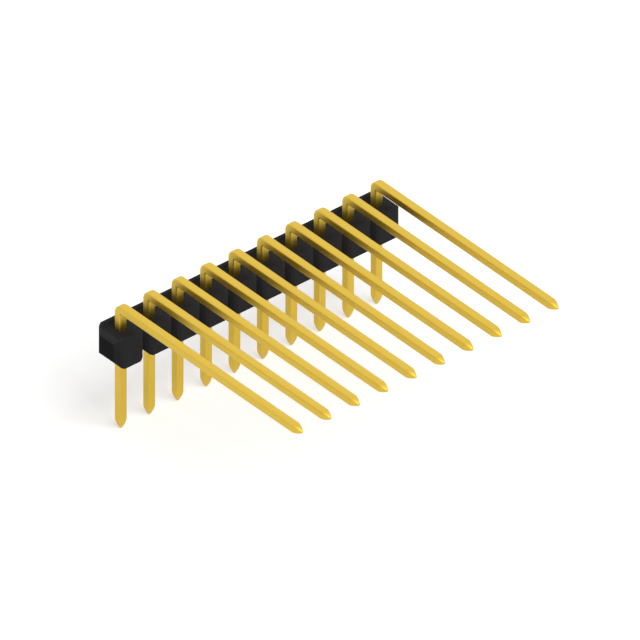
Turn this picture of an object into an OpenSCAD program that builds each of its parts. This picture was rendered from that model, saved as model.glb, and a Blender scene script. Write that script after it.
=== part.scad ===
// Angled pin header strip: one row of square pins held in a black moulded insulator.
// Each pin comes straight up out of the insulator and then turns forward over it.
// The origin is the middle of the row, on the underside of the insulator, which faces the board.
// +X runs along the row, the long legs point to -Y, and +Z is up.

/* [Row] */
// Number of pins in the row
pin_count = 10; // [2:1:40]
// Distance from one pin to the next
pitch = 2.54; // [2:0.01:5.08]

/* [Insulator] */
// Depth of the insulator from front to back
body_depth = 2.57; // [2:0.01:6]
// Height of the insulator above the board
body_height = 2.58; // [1.6:0.01:8]
// Length of the slope at each end of a cell, along the row
slope_length = 0.36; // [0.2:0.01:0.5]
// Length of that slope on the underside
under_length = 0.43; // [0.2:0.01:0.5]
// How far that slope goes into the front and the back
front_slope = 0.54; // [0.1:0.01:0.6]
// How far that slope goes into the top and the underside
top_slope = 0.57; // [0.1:0.01:0.6]
// Length taken off both sides of the edge between a slope and the face beside it
edge_break = 0.16; // [0.05:0.01:0.2]
// Width of the channel that runs along the top and the underside, around the pins
channel_width = 1.95; // [1:0.01:1.95]
// Depth of that channel
channel_depth = 0.17; // [0.05:0.01:0.3]

/* [Pins] */
// Thickness of the square pin
pin_width = 0.64; // [0.4:0.01:0.8]
// Length taken off both sides of each long edge of the pin
pin_edge = 0.07; // [0.02:0.005:0.15]
// Gap on each side between a pin and its hole in the insulator
pin_fit = 0; // [0:0.005:0.05]
// Length of the tail below the insulator, which goes through the board
tail_length = 5.88; // [2:0.01:20]
// Height of the underside of the legs above the insulator's top
leg_clearance = 1.26; // [0.3:0.01:12]
// Length of a leg from the middle of the upright to its point
leg_length = 19.33; // [3:0.01:40]
// Inside radius of the turn from upright to leg
bend_inner = 0.06; // [0.02:0.01:0.3]
// Length of the tapered point at both ends of a pin
tip_length = 0.72; // [0.2:0.01:1.5]
// Width of the small flat that ends the point
tip_flat = 0.13; // [0.05:0.01:0.3]
// Width of the pin half way along the point
tip_middle = 0.46; // [0.3:0.01:0.6]

/* [Hidden] */

$fn = 48;
row_length = pin_count * pitch;
half_pin = pin_width / 2;
// Middle of the pin's thickness, in a leg and in the turn
leg_axis = body_height + leg_clearance + half_pin;
bend_middle = bend_inner + half_pin;
// Centre that the wire turns round
bend_y = -bend_middle;
bend_z = leg_axis - bend_middle;
// Extra reach of a cut past the face it opens
over = 1;

function pin_x(i) = (i - (pin_count + 1) / 2) * pitch;

// Right half of one cell's long side: flat, then a broken edge, then the slope down to the notch
function half_cell(length, half, notch) =
    let (edge = pitch / 2 - length)
    let (share = edge_break / norm([length, notch]))
    [
        [edge - edge_break, half],
        [edge + share * length, half - share * notch],
        [pitch / 2, half - notch]
    ];

// One long side of the whole row, with a notch between each cell and the next
function row_side(length, half, notch) =
    let (right = half_cell(length, half, notch))
    [
        [-row_length / 2, half - notch],
        for (i = [1:pin_count])
            for (p = concat([for (k = [1:-1:0]) [-right[k].x, right[k].y]], right))
                [pin_x(i) + p.x, p.y]
    ];

function turned_over(points) = [for (i = [len(points) - 1:-1:0]) [points[i].x, -points[i].y]];

// The row's outline, with slopes of their own length on its lower side
module row_outline(width, notch, lower_length = slope_length) {
    upper = row_side(slope_length, width / 2, notch);
    lower = row_side(lower_length, width / 2, notch);
    polygon(concat(upper, turned_over(lower)));
}

module pin_section(side, edge) {
    far = side / 2;
    near = far - edge;
    polygon([
        [far, -near], [far, near], [near, far], [-near, far],
        [-far, near], [-far, -near], [-near, -far], [near, -far]
    ]);
}

module channel(height) {
    translate([-row_length / 2 - over, -channel_width / 2, height])
        cube([row_length + 2 * over, channel_width, channel_depth + over]);
}

module insulator() {
    color("#26262b")
    difference() {
        intersection() {
            linear_extrude(body_height) row_outline(body_depth, front_slope);
            translate([0, 0, body_height / 2])
                rotate([90, 0, 0])
                    linear_extrude(body_depth, center = true)
                        row_outline(body_height, top_slope, under_length);
        }
        channel(body_height - channel_depth);
        channel(-over);
        for (i = [1:pin_count])
            translate([pin_x(i), 0, -over])
                linear_extrude(body_height + 2 * over)
                    pin_section(pin_width + 2 * pin_fit, pin_edge);
    }
}

// Side view of a straight stretch that ends in a point
module point_outline(length) {
    shoulder = length - tip_length;
    polygon([
        [-half_pin, 0], [half_pin, 0], [half_pin, shoulder], [tip_middle / 2, length - tip_length / 2],
        [tip_flat / 2, length], [-tip_flat / 2, length], [-tip_middle / 2, length - tip_length / 2],
        [-half_pin, shoulder]
    ]);
}

module pointed_bar(length) {
    intersection() {
        linear_extrude(length) pin_section(pin_width, pin_edge);
        rotate([90, 0, 0]) linear_extrude(pin_width, center = true) point_outline(length);
        rotate([90, 0, 90]) linear_extrude(pin_width, center = true) point_outline(length);
    }
}

// The wire's section, swept a quarter turn from the top of the upright to the start of the leg
module bend() {
    rotate([90, 0, 90])
        rotate_extrude(angle = 90)
            translate([bend_middle, 0]) pin_section(pin_width, pin_edge);
}

module pin(i) {
    color("#e0bb4c")
    translate([pin_x(i), 0, 0])
        union() {
            translate([0, 0, bend_z]) rotate([180, 0, 0]) pointed_bar(bend_z + tail_length);
            translate([0, bend_y, leg_axis]) rotate([90, 0, 0]) pointed_bar(leg_length + bend_y);
            translate([0, bend_y, bend_z]) bend();
        }
}

insulator();
for (i = [1:pin_count])
    pin(i);
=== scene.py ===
"""Angled pin header strip: ten gold-plated pins in a black moulded insulator, on a plain white floor."""

import math

import bmesh
import bpy
from bpy.props import FloatProperty, FloatVectorProperty, IntProperty, PointerProperty
from mathutils import Matrix, Vector


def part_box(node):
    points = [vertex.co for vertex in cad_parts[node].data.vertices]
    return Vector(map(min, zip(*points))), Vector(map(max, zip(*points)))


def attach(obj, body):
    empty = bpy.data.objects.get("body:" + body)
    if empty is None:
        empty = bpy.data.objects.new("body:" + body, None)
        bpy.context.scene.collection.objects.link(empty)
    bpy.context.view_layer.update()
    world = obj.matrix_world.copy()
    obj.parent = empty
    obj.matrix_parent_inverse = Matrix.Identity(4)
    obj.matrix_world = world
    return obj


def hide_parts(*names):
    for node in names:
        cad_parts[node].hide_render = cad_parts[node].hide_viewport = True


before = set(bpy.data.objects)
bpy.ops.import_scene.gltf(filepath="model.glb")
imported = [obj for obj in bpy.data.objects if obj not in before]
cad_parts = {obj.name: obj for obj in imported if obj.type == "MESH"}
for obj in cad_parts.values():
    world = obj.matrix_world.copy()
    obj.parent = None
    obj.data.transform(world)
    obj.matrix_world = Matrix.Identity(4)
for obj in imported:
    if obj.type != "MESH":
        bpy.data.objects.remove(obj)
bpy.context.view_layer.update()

bl_info = {
    "name": "Angled Pin Header Strip",
    "version": (1, 0, 0),
    "blender": (4, 5, 0),
    "location": "View3D > Sidebar > Pin Header",
    "description": "Dresses a pin header strip: plated wire pins, moulded insulator, floor, light and camera",
    "category": "Object",
}

MM = 0.001
BODY = "root"
PIN = "pin_"
PINS = sorted(
    (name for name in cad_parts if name.startswith(PIN)),
    key=lambda name: int(name[len(PIN):]),
)
PIN_LOW, PIN_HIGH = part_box(PINS[0])
WIRE = PIN_HIGH.x - PIN_LOW.x
# Points nearer than this are one point
SAME_POINT = 0.0005 * MM
# Corners of the moulding nearer than this are drawn into one. No rounded edge has room between them
SAME_CORNER = 0.01 * MM
# A point nearer than this to a line or a plane of the wire lies on it
ON_LINE = 0.001 * MM
# A cut across the wire takes over points nearer than this
ON_CUT = 0.0001 * MM
# Two faces that turn less than this are one flat face
FLAT_ANGLE = math.radians(1)
# Edges of the moulding that turn more than this are rounded
CORNER_ANGLE = math.radians(15)
# Edges that turn more than this are shaded as sharp
SHARP_ANGLE = math.radians(38)
# Facets round the wire's turn, and across its rounded long edges
TURN_FACETS = 12
EDGE_FACETS = 4
BLACK = (0, 0, 0)
WHITE = (1.0, 1.0, 1.0, 1.0)
# Soft boxes: place, width and height
FRONT_LAMP = ((0.02, -0.15, 0.2), 0.2, 0.2)
BACK_LAMP = ((0.03, 0.24, 0.18), 0.55, 0.22)
# Blender's own properties, which stand before a group's first one
OWN_PROPERTIES = 2


class PinSettings(bpy.types.PropertyGroup):
    """Sizes and finish of the plated wire pins. The wire's thickness and lengths come from the model."""

    bend_radius: FloatProperty(
        name="Bend Radius", description="Radius inside the turn",
        default=0.06 * MM, unit="LENGTH", precision=5,
    )
    edge_radius: FloatProperty(
        name="Edge Radius", description="Rounding of the wire's long edges",
        default=0.11 * MM, unit="LENGTH",
    )
    point_length: FloatProperty(
        name="Point Length", description="Length of the tapered point",
        default=0.72 * MM, unit="LENGTH",
    )
    point_middle: FloatProperty(
        name="Point Middle", description="Thickness half way along the point",
        default=0.46 * MM, unit="LENGTH",
    )
    point_flat: FloatProperty(
        name="Point Flat", description="Thickness where the point ends",
        default=0.13 * MM, unit="LENGTH",
    )
    point_rings: IntProperty(name="Point Rings", description="Sections along each point", default=6, min=2)
    colour: FloatVectorProperty(
        name="Plating", description="Colour of the gold plating",
        default=(0.69, 0.482, 0.064), subtype="COLOR",
    )
    deep_colour: FloatVectorProperty(
        name="Deep Plating", description="Colour where the plating is thicker",
        default=(0.63, 0.432, 0.0545), subtype="COLOR",
    )
    roughness: FloatProperty(
        name="Roughness", description="Roughness of the plating",
        default=0.4, subtype="FACTOR", min=0, max=1,
    )


class InsulatorSettings(bpy.types.PropertyGroup):
    """Edges and finish of the moulded insulator. Its shape comes from the model."""

    edge_radius: FloatProperty(
        name="Edge Radius", description="Rounding of the moulded edges",
        default=0.02 * MM, unit="LENGTH", precision=5,
    )
    edge_rings: IntProperty(name="Edge Rings", description="Facets across a rounded edge", default=2, min=1)
    colour: FloatVectorProperty(
        name="Plastic", description="Colour of the plastic",
        default=(0.029, 0.029, 0.031), subtype="COLOR",
    )
    roughness: FloatProperty(
        name="Roughness", description="Roughness of the moulded skin",
        default=0.6, subtype="FACTOR", min=0, max=1,
    )
    gloss: FloatProperty(
        name="Gloss", description="Strength of the plastic's reflection",
        default=0.01, subtype="FACTOR", min=0, max=1,
    )


class StageSettings(bpy.types.PropertyGroup):
    """Camera, lights and floor."""

    azimuth: FloatProperty(
        name="Azimuth", description="Camera's turn round the strip",
        default=math.radians(-40.02), subtype="ANGLE",
    )
    elevation: FloatProperty(
        name="Elevation", description="Camera's angle above the floor",
        default=math.radians(35.24), subtype="ANGLE",
    )
    view_width: FloatProperty(
        name="View Width", description="Width that the camera takes in",
        default=43.81 * MM, unit="LENGTH",
    )
    aim_right: FloatProperty(
        name="Aim Right", description="View's centre to the right of the origin",
        default=4.885 * MM, unit="LENGTH",
    )
    aim_down: FloatProperty(
        name="Aim Down", description="View's centre below the origin",
        default=1.699 * MM, unit="LENGTH",
    )
    camera_distance: FloatProperty(
        name="Camera Distance", description="Camera's distance from the strip",
        default=0.2, unit="LENGTH",
    )
    floor_size: FloatProperty(
        name="Floor Size", description="Side of the floor",
        default=2.0, unit="LENGTH",
    )
    floor_colour: FloatVectorProperty(
        name="Floor", description="Colour of the floor",
        default=(0.75, 0.75, 0.75), subtype="COLOR",
    )
    floor_glow: FloatProperty(
        name="Floor Glow", description="Glow that makes the floor white", default=0.47
    )
    sky: FloatProperty(
        name="Sky", description="Strength of the even light from all round", default=0.35
    )
    front_power: FloatProperty(
        name="Front Lamp", description="Power of the lamp in front", default=0.5, unit="POWER"
    )
    back_power: FloatProperty(
        name="Back Lamp", description="Power of the lamp behind", default=0.085, unit="POWER"
    )


class Field:
    """One output of a shader node. Arithmetic on it adds Math nodes."""

    def __init__(self, nodes, socket):
        self.nodes = nodes
        self.socket = socket

    def worked(self, operation, first, second):
        return self.nodes.node("ShaderNodeMath", {"operation": operation}, {0: first, 1: second})

    def __add__(self, other):
        return self.worked("ADD", self, other)

    def __sub__(self, other):
        return self.worked("SUBTRACT", self, other)

    def __rsub__(self, other):
        return self.worked("SUBTRACT", other, self)

    def __mul__(self, other):
        return self.worked("MULTIPLY", self, other)

    def __lt__(self, other):
        return self.worked("LESS_THAN", self, other)

    def __gt__(self, other):
        return self.worked("GREATER_THAN", self, other)

    __radd__ = __add__
    __rmul__ = __mul__


class Nodes:
    """The shader nodes of a material or of the world."""

    def __init__(self, owner):
        owner.use_nodes = True
        self.tree = owner.node_tree

    def feed(self, socket, value):
        """Links a field to a socket, or sets the socket's own value."""
        if isinstance(value, Field):
            self.tree.links.new(value.socket, socket)
        else:
            socket.default_value = value

    def seen_directly(self):
        """1 for what is seen, at once or in metal or through glass. 0 for the light that it gives."""
        kinds = ("Is Camera Ray", "Is Glossy Ray", "Is Transmission Ray")
        camera, glossy, through = [self.node("ShaderNodeLightPath", {}, {}, kind) for kind in kinds]
        return camera + glossy + through

    def node(self, kind, settings, inputs, output=0):
        """Adds a node: its settings first, then the values or links of its sockets."""
        added = self.tree.nodes.new(kind)
        for name, value in settings.items():
            setattr(added, name, value)
        for name, value in inputs.items():
            self.feed(added.inputs[name], value)
        return Field(self, added.outputs[output])


class Finish(Nodes):
    """A material, and the patterns that its surface is painted with."""

    def __init__(self, name, constants):
        self.material = bpy.data.materials.new(name)
        super().__init__(self.material)
        self.shader = self.tree.nodes["Principled BSDF"]
        for socket, value in constants.items():
            self.feed(self.shader.inputs[socket], value)

    def paint(self, **fields):
        """Feeds the surface's varying inputs. An underscore in a name stands for a space."""
        for name, value in fields.items():
            self.feed(self.shader.inputs[name.replace("_", " ")], value)

    def place(self):
        """The point of the surface, in the model's own frame."""
        return self.node("ShaderNodeTexCoord", {}, {}, "Object")

    def facing(self):
        """The three parts of the direction that the surface faces, in the model's own frame."""
        normal = self.node("ShaderNodeTexCoord", {}, {}, "Normal")
        return [self.node("ShaderNodeSeparateXYZ", {}, {"Vector": normal}, part) for part in "XYZ"]

    def noise(self, place, per_mm, detail=3.0, stretch=(1, 1, 1)):
        """Noise from 0 to 1, with per_mm grains in a millimetre. stretch draws them out along an axis."""
        scale = [per_mm / MM / times for times in stretch]
        inputs = {"Vector": place, "Scale": scale}
        spread = self.node("ShaderNodeMapping", {"vector_type": "POINT"}, inputs)
        return self.node("ShaderNodeTexNoise", {}, {"Vector": spread, "Scale": 1.0, "Detail": detail})

    def blend(self, factor, first, second):
        """A colour between two others."""
        inputs = {0: factor, 6: (*first, 1.0), 7: (*second, 1.0)}
        return self.node("ShaderNodeMix", {"data_type": "RGBA"}, inputs, 2)

    def bump(self, height, depth):
        """A normal from a height of 0 to 1, whose relief is depth metres."""
        return self.node("ShaderNodeBump", {}, {"Height": height, "Strength": 1.0, "Distance": depth})


def gold_plating(settings):
    """Satin gold on drawn wire: fine draw lines along the wire, and a tone that wanders a little."""
    lines_per_mm, drawn_out, clouds_per_mm = 14, 30, 0.8
    cloud_share, line_share = 0.6, 0.4
    roughness_range, line_depth = 0.14, 0.0012 * MM
    finish = Finish("gold_plating", {"Metallic": 1.0})
    place = finish.place()
    depth = finish.node("ShaderNodeSeparateXYZ", {}, {"Vector": place}, "Y")
    on_leg = depth < -WIRE / 2
    leg_lines = finish.noise(place, lines_per_mm, stretch=(1, drawn_out, 1))
    upright_lines = finish.noise(place, lines_per_mm, stretch=(1, 1, drawn_out))
    lines = on_leg * leg_lines + (1 - on_leg) * upright_lines
    cloud = finish.noise(place, clouds_per_mm)
    tone = cloud * cloud_share + lines * line_share
    finish.paint(
        Base_Color=finish.blend(tone, settings.colour, settings.deep_colour),
        Roughness=lines * roughness_range + (settings.roughness - roughness_range / 2),
        Normal=finish.bump(lines, line_depth),
    )
    return finish.material


def black_moulding(settings):
    """Black plastic with the fine grain of its mould. Its colour also holds painted shade, darker on the ends
    of the strip, and painted light, lighter on the slanted faces over the notches.
    """
    grains_per_mm, flows_per_mm, flow_drawn_out = 9, 0.9, 3
    # The first two numbers scale the plastic's colour to its darkest and lightest tone. That range spans the
    # grain and also the painted shade and painted light. On the next line, the fourth number is painted light
    # on the slanted faces and the fifth is painted shade on the ends.
    dark_grain_and_shade_times, light_grain_and_lit_times = 0.57, 2.3
    grain_tone, flow_tone, plain_tone, slope_painted_light, end_painted_shade = 0.14, 0.1, 0.13, 0.9, 0.2
    grain_roughness, flow_roughness = 0.12, 0.08
    grain_depth = 0.004 * MM
    # The facing direction's share along the row, squared, past which a face is an end of the strip and gets
    # painted shade
    end_on = 0.9
    finish = Finish("black_moulding", {"Specular IOR Level": settings.gloss})
    place = finish.place()
    grain = finish.noise(place, grains_per_mm, detail=4.0)
    flow = finish.noise(place, flows_per_mm, stretch=(flow_drawn_out, 1, 1))
    along, _, up = finish.facing()
    # Painted shade: faces that look along the row, the ends of the strip, are darkened. Painted light: faces
    # that look along the row and up, the slanted faces over the notches, are lightened, and those that look
    # down are darkened.
    painted_shade_on_ends = along * along > end_on
    painted_light_on_slopes = along * along * up
    # The blend between a darker and a lighter copy of the plastic's colour carries the grain and flow's
    # random tone, together with the painted light and painted shade.
    dark_grain_and_painted_shade, light = [[times * part for part in settings.colour] for times in (dark_grain_and_shade_times, light_grain_and_lit_times)]
    tone = grain * grain_tone + flow * flow_tone + plain_tone + painted_light_on_slopes * slope_painted_light - painted_shade_on_ends * end_painted_shade
    roughness_middle = settings.roughness - (grain_roughness + flow_roughness) / 2
    finish.paint(
        Base_Color=finish.blend(tone, dark_grain_and_painted_shade, light),
        Roughness=grain * grain_roughness + flow * flow_roughness + roughness_middle,
        Normal=finish.bump(grain, grain_depth),
    )
    return finish.material


def add_piece(name, bm, material, node):
    """Makes the mesh a finished piece, in place of the node that it stands for."""
    mesh = bpy.data.meshes.new(name)
    bm.to_mesh(mesh)
    bm.free()
    mesh.shade_smooth()
    mesh.set_sharp_from_angle(angle=SHARP_ANGLE)
    mesh.materials.append(material)
    piece = bpy.data.objects.new(name, mesh)
    bpy.context.scene.collection.objects.link(piece)
    even = piece.modifiers.new("even_faces", "WEIGHTED_NORMAL")
    even.keep_sharp = True
    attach(piece, BODY)
    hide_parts(node)
    return piece


def near(value, target):
    return abs(value - target) < ON_LINE


def edges_along_x(bm, y, z):
    """The edges that run along the row through (y, z)."""
    return [e for e in bm.edges if all(near(v.co.y, y) and near(v.co.z, z) for v in e.verts)]


def round_edges(bm, edges, radius, segments, clamp_overlap=True):
    bmesh.ops.bevel(
        bm, geom=edges, offset=radius, segments=segments, profile=0.5, affect="EDGES", material=-1,
        clamp_overlap=clamp_overlap,
    )


def draw_to_point(bm, settings, tip, inwards, axis):
    """Cuts rings near one end of the wire, then narrows them to a blunt point. inwards leads from the tip."""
    # A curve that takes off nothing at the shoulder, middle half way and end at the tip
    middle = 1 - settings.point_middle / WIRE
    end = 1 - settings.point_flat / WIRE
    early, late = 4 * middle - end, 2 * end - 4 * middle
    shares = [ring / settings.point_rings for ring in range(settings.point_rings + 1)]
    centres = [tip + inwards * settings.point_length * (1 - share) for share in shares]
    for centre in centres[:-1]:
        geometry = bm.verts[:] + bm.edges[:] + bm.faces[:]
        bmesh.ops.bisect_plane(bm, geom=geometry, dist=ON_CUT, plane_co=centre, plane_no=inwards)
    for share, centre in zip(shares, centres):
        width = 1 - early * share - late * share * share
        section = [
            v for v in bm.verts
            if near((v.co - centre).dot(inwards), 0) and (v.co - centre).length < WIRE
        ]
        factors = [1.0 if part == axis else width for part in range(3)]
        bmesh.ops.scale(bm, vec=factors, space=Matrix.Translation(-centre), verts=section)


def wire_pin(settings, x):
    """One pin: a square wire with one turn, rounded long edges and a point at both ends."""
    half = WIRE / 2
    back, inner = half, -half
    top, under = PIN_HIGH.z, PIN_HIGH.z - WIRE
    tail, tip = PIN_LOW.z, PIN_LOW.y
    side = [(back, tail), (back, top), (tip, top), (tip, under), (inner, under), (inner, tail)]
    bm = bmesh.new()
    outline = bm.faces.new([bm.verts.new((-half, y, z)) for y, z in side])
    swept = bmesh.ops.extrude_face_region(bm, geom=[outline])["geom"]
    far_side = [v for v in swept if isinstance(v, bmesh.types.BMVert)]
    bmesh.ops.translate(bm, vec=(WIRE, 0, 0), verts=far_side)
    bmesh.ops.recalc_face_normals(bm, faces=bm.faces[:])
    round_edges(bm, edges_along_x(bm, back, top), settings.bend_radius + WIRE, TURN_FACETS)
    round_edges(bm, edges_along_x(bm, inner, under), settings.bend_radius, TURN_FACETS)
    long_edges = [
        e for e in bm.edges
        if near(abs(e.verts[0].co.x), half) and near(e.verts[0].co.x, e.verts[1].co.x)
        and not all(near(v.co.z, tail) for v in e.verts)
        and not all(near(v.co.y, tip) for v in e.verts)
    ]
    # The clamp would cut the radius to the smaller one inside the turn
    round_edges(bm, long_edges, settings.edge_radius, EDGE_FACETS, clamp_overlap=False)
    draw_to_point(bm, settings, Vector((0, 0, tail)), Vector((0, 0, 1)), axis=2)
    draw_to_point(bm, settings, Vector((0, tip, (top + under) / 2)), Vector((0, 1, 0)), axis=1)
    bmesh.ops.translate(bm, vec=(x, 0, 0), verts=bm.verts[:])
    return bm


class HEADER_OT_insulator(bpy.types.Operator):
    """Gives the moulded insulator its softened edges and its black plastic"""

    bl_idname = "header.insulator"
    bl_label = "Insulator"

    def execute(self, context):
        settings = context.scene.header_insulator
        bm = bmesh.new()
        bm.from_mesh(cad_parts["insulator"].data)
        bmesh.ops.remove_doubles(bm, verts=bm.verts[:], dist=SAME_CORNER)
        bmesh.ops.dissolve_limit(bm, angle_limit=FLAT_ANGLE, verts=bm.verts[:], edges=bm.edges[:])
        corners = [e for e in bm.edges if e.is_manifold and e.calc_face_angle() > CORNER_ANGLE]
        round_edges(bm, corners, settings.edge_radius, settings.edge_rings)
        bmesh.ops.remove_doubles(bm, verts=bm.verts[:], dist=SAME_POINT)
        add_piece("moulded_insulator", bm, black_moulding(settings), "insulator")
        return {"FINISHED"}


class HEADER_OT_pins(bpy.types.Operator):
    """Draws the pins from plated wire, one for each pin of the model"""

    bl_idname = "header.pins"
    bl_label = "Pins"

    def execute(self, context):
        settings = context.scene.header_pins
        plating = gold_plating(settings)
        for name in PINS:
            low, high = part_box(name)
            pin = wire_pin(settings, (low.x + high.x) / 2)
            add_piece("wire_" + name, pin, plating, name)
        return {"FINISHED"}


class HEADER_OT_stage(bpy.types.Operator):
    """Sets the floor, the light and the camera"""

    bl_idname = "header.stage"
    bl_label = "Floor, Light and Camera"

    def execute(self, context):
        settings = context.scene.header_stage
        add_floor(settings)
        add_sky(context.scene, settings)
        add_lamps(context.scene, settings)
        add_camera(context.scene, settings)
        context.scene.view_settings.view_transform = "Standard"
        return {"FINISHED"}


def white_paper(settings):
    """Matt paper that glows a little where it is seen, so it is white without more light on the strip."""
    fibres_per_mm, fibre_tone = 0.5, 0.985
    matt = {"Roughness": 1.0, "Specular IOR Level": 0.0, "Emission Strength": 1.0}
    finish = Finish("white_paper", matt)
    fibres = finish.noise(finish.place(), fibres_per_mm)
    colour = settings.floor_colour
    finish.paint(
        Base_Color=finish.blend(fibres, colour, [fibre_tone * part for part in colour]),
        Emission_Color=finish.blend(finish.seen_directly(), BLACK, 3 * [settings.floor_glow]),
    )
    return finish.material


def add_floor(settings):
    bm = bmesh.new()
    bmesh.ops.create_grid(bm, x_segments=1, y_segments=1, size=settings.floor_size / 2)
    bmesh.ops.translate(bm, vec=(0, 0, PIN_LOW.z), verts=bm.verts[:])
    mesh = bpy.data.meshes.new("floor")
    bm.to_mesh(mesh)
    bm.free()
    mesh.materials.append(white_paper(settings))
    floor = bpy.data.objects.new("floor", mesh)
    bpy.context.scene.collection.objects.link(floor)


def add_sky(scene, settings):
    """Even light from all round, which is seen as plain white."""
    world = bpy.data.worlds.new("studio")
    scene.world = world
    nodes = Nodes(world)
    light, white = [
        nodes.node("ShaderNodeBackground", {}, {"Color": WHITE, "Strength": strength})
        for strength in (settings.sky, 1.0)
    ]
    seen = nodes.node("ShaderNodeMixShader", {}, {0: nodes.seen_directly(), 1: light, 2: white})
    nodes.feed(nodes.tree.nodes["World Output"].inputs["Surface"], seen)


def add_lamp(scene, name, place, width, height, power):
    """A soft box that faces the strip."""
    data = bpy.data.lights.new(name, "AREA")
    data.shape = "RECTANGLE"
    data.size = width
    data.size_y = height
    data.energy = power
    lamp = bpy.data.objects.new(name, data)
    scene.collection.objects.link(lamp)
    lamp.location = place
    lamp.rotation_mode = "QUATERNION"
    lamp.rotation_quaternion = (-lamp.location).to_track_quat("-Z", "Y")


def add_lamps(scene, settings):
    """A large lamp above and in front, and a long weak one behind that the tops of the legs reflect."""
    add_lamp(scene, "front_lamp", *FRONT_LAMP, settings.front_power)
    add_lamp(scene, "back_lamp", *BACK_LAMP, settings.back_power)


def add_camera(scene, settings):
    tilt = Matrix.Rotation(math.pi / 2 - settings.elevation, 3, "X")
    turn = Matrix.Rotation(settings.azimuth, 3, "Z") @ tilt
    data = bpy.data.cameras.new("camera")
    data.type = "ORTHO"
    data.ortho_scale = settings.view_width
    data.clip_start = 1 * MM
    data.clip_end = 10 * settings.camera_distance
    camera = bpy.data.objects.new("camera", data)
    scene.collection.objects.link(camera)
    aim = Vector((settings.aim_right, -settings.aim_down, settings.camera_distance))
    camera.location = turn @ aim
    camera.rotation_euler = turn.to_euler()
    scene.camera = camera


class HEADER_PT_panel(bpy.types.Panel):
    """Lists the strip's parts"""

    bl_idname = "HEADER_PT_panel"
    bl_label = "Pin Header"
    bl_space_type = "VIEW_3D"
    bl_region_type = "UI"
    bl_category = "Pin Header"

    def draw(self, context):
        scene = context.scene
        for settings, operator in (
            (scene.header_insulator, HEADER_OT_insulator),
            (scene.header_pins, HEADER_OT_pins),
            (scene.header_stage, HEADER_OT_stage),
        ):
            box = self.layout.box()
            for name in settings.bl_rna.properties.keys()[OWN_PROPERTIES:]:
                box.prop(settings, name)
            box.operator(operator.bl_idname)


CLASSES = (
    PinSettings,
    InsulatorSettings,
    StageSettings,
    HEADER_OT_insulator,
    HEADER_OT_pins,
    HEADER_OT_stage,
    HEADER_PT_panel,
)


def register():
    for cls in CLASSES:
        bpy.utils.register_class(cls)
    bpy.types.Scene.header_pins = PointerProperty(type=PinSettings)
    bpy.types.Scene.header_insulator = PointerProperty(type=InsulatorSettings)
    bpy.types.Scene.header_stage = PointerProperty(type=StageSettings)


def unregister():
    del bpy.types.Scene.header_stage
    del bpy.types.Scene.header_insulator
    del bpy.types.Scene.header_pins
    for cls in reversed(CLASSES):
        bpy.utils.unregister_class(cls)


def main():
    register()
    bpy.ops.header.insulator()
    bpy.ops.header.pins()
    bpy.ops.header.stage()


if __name__ == "__main__":
    main()
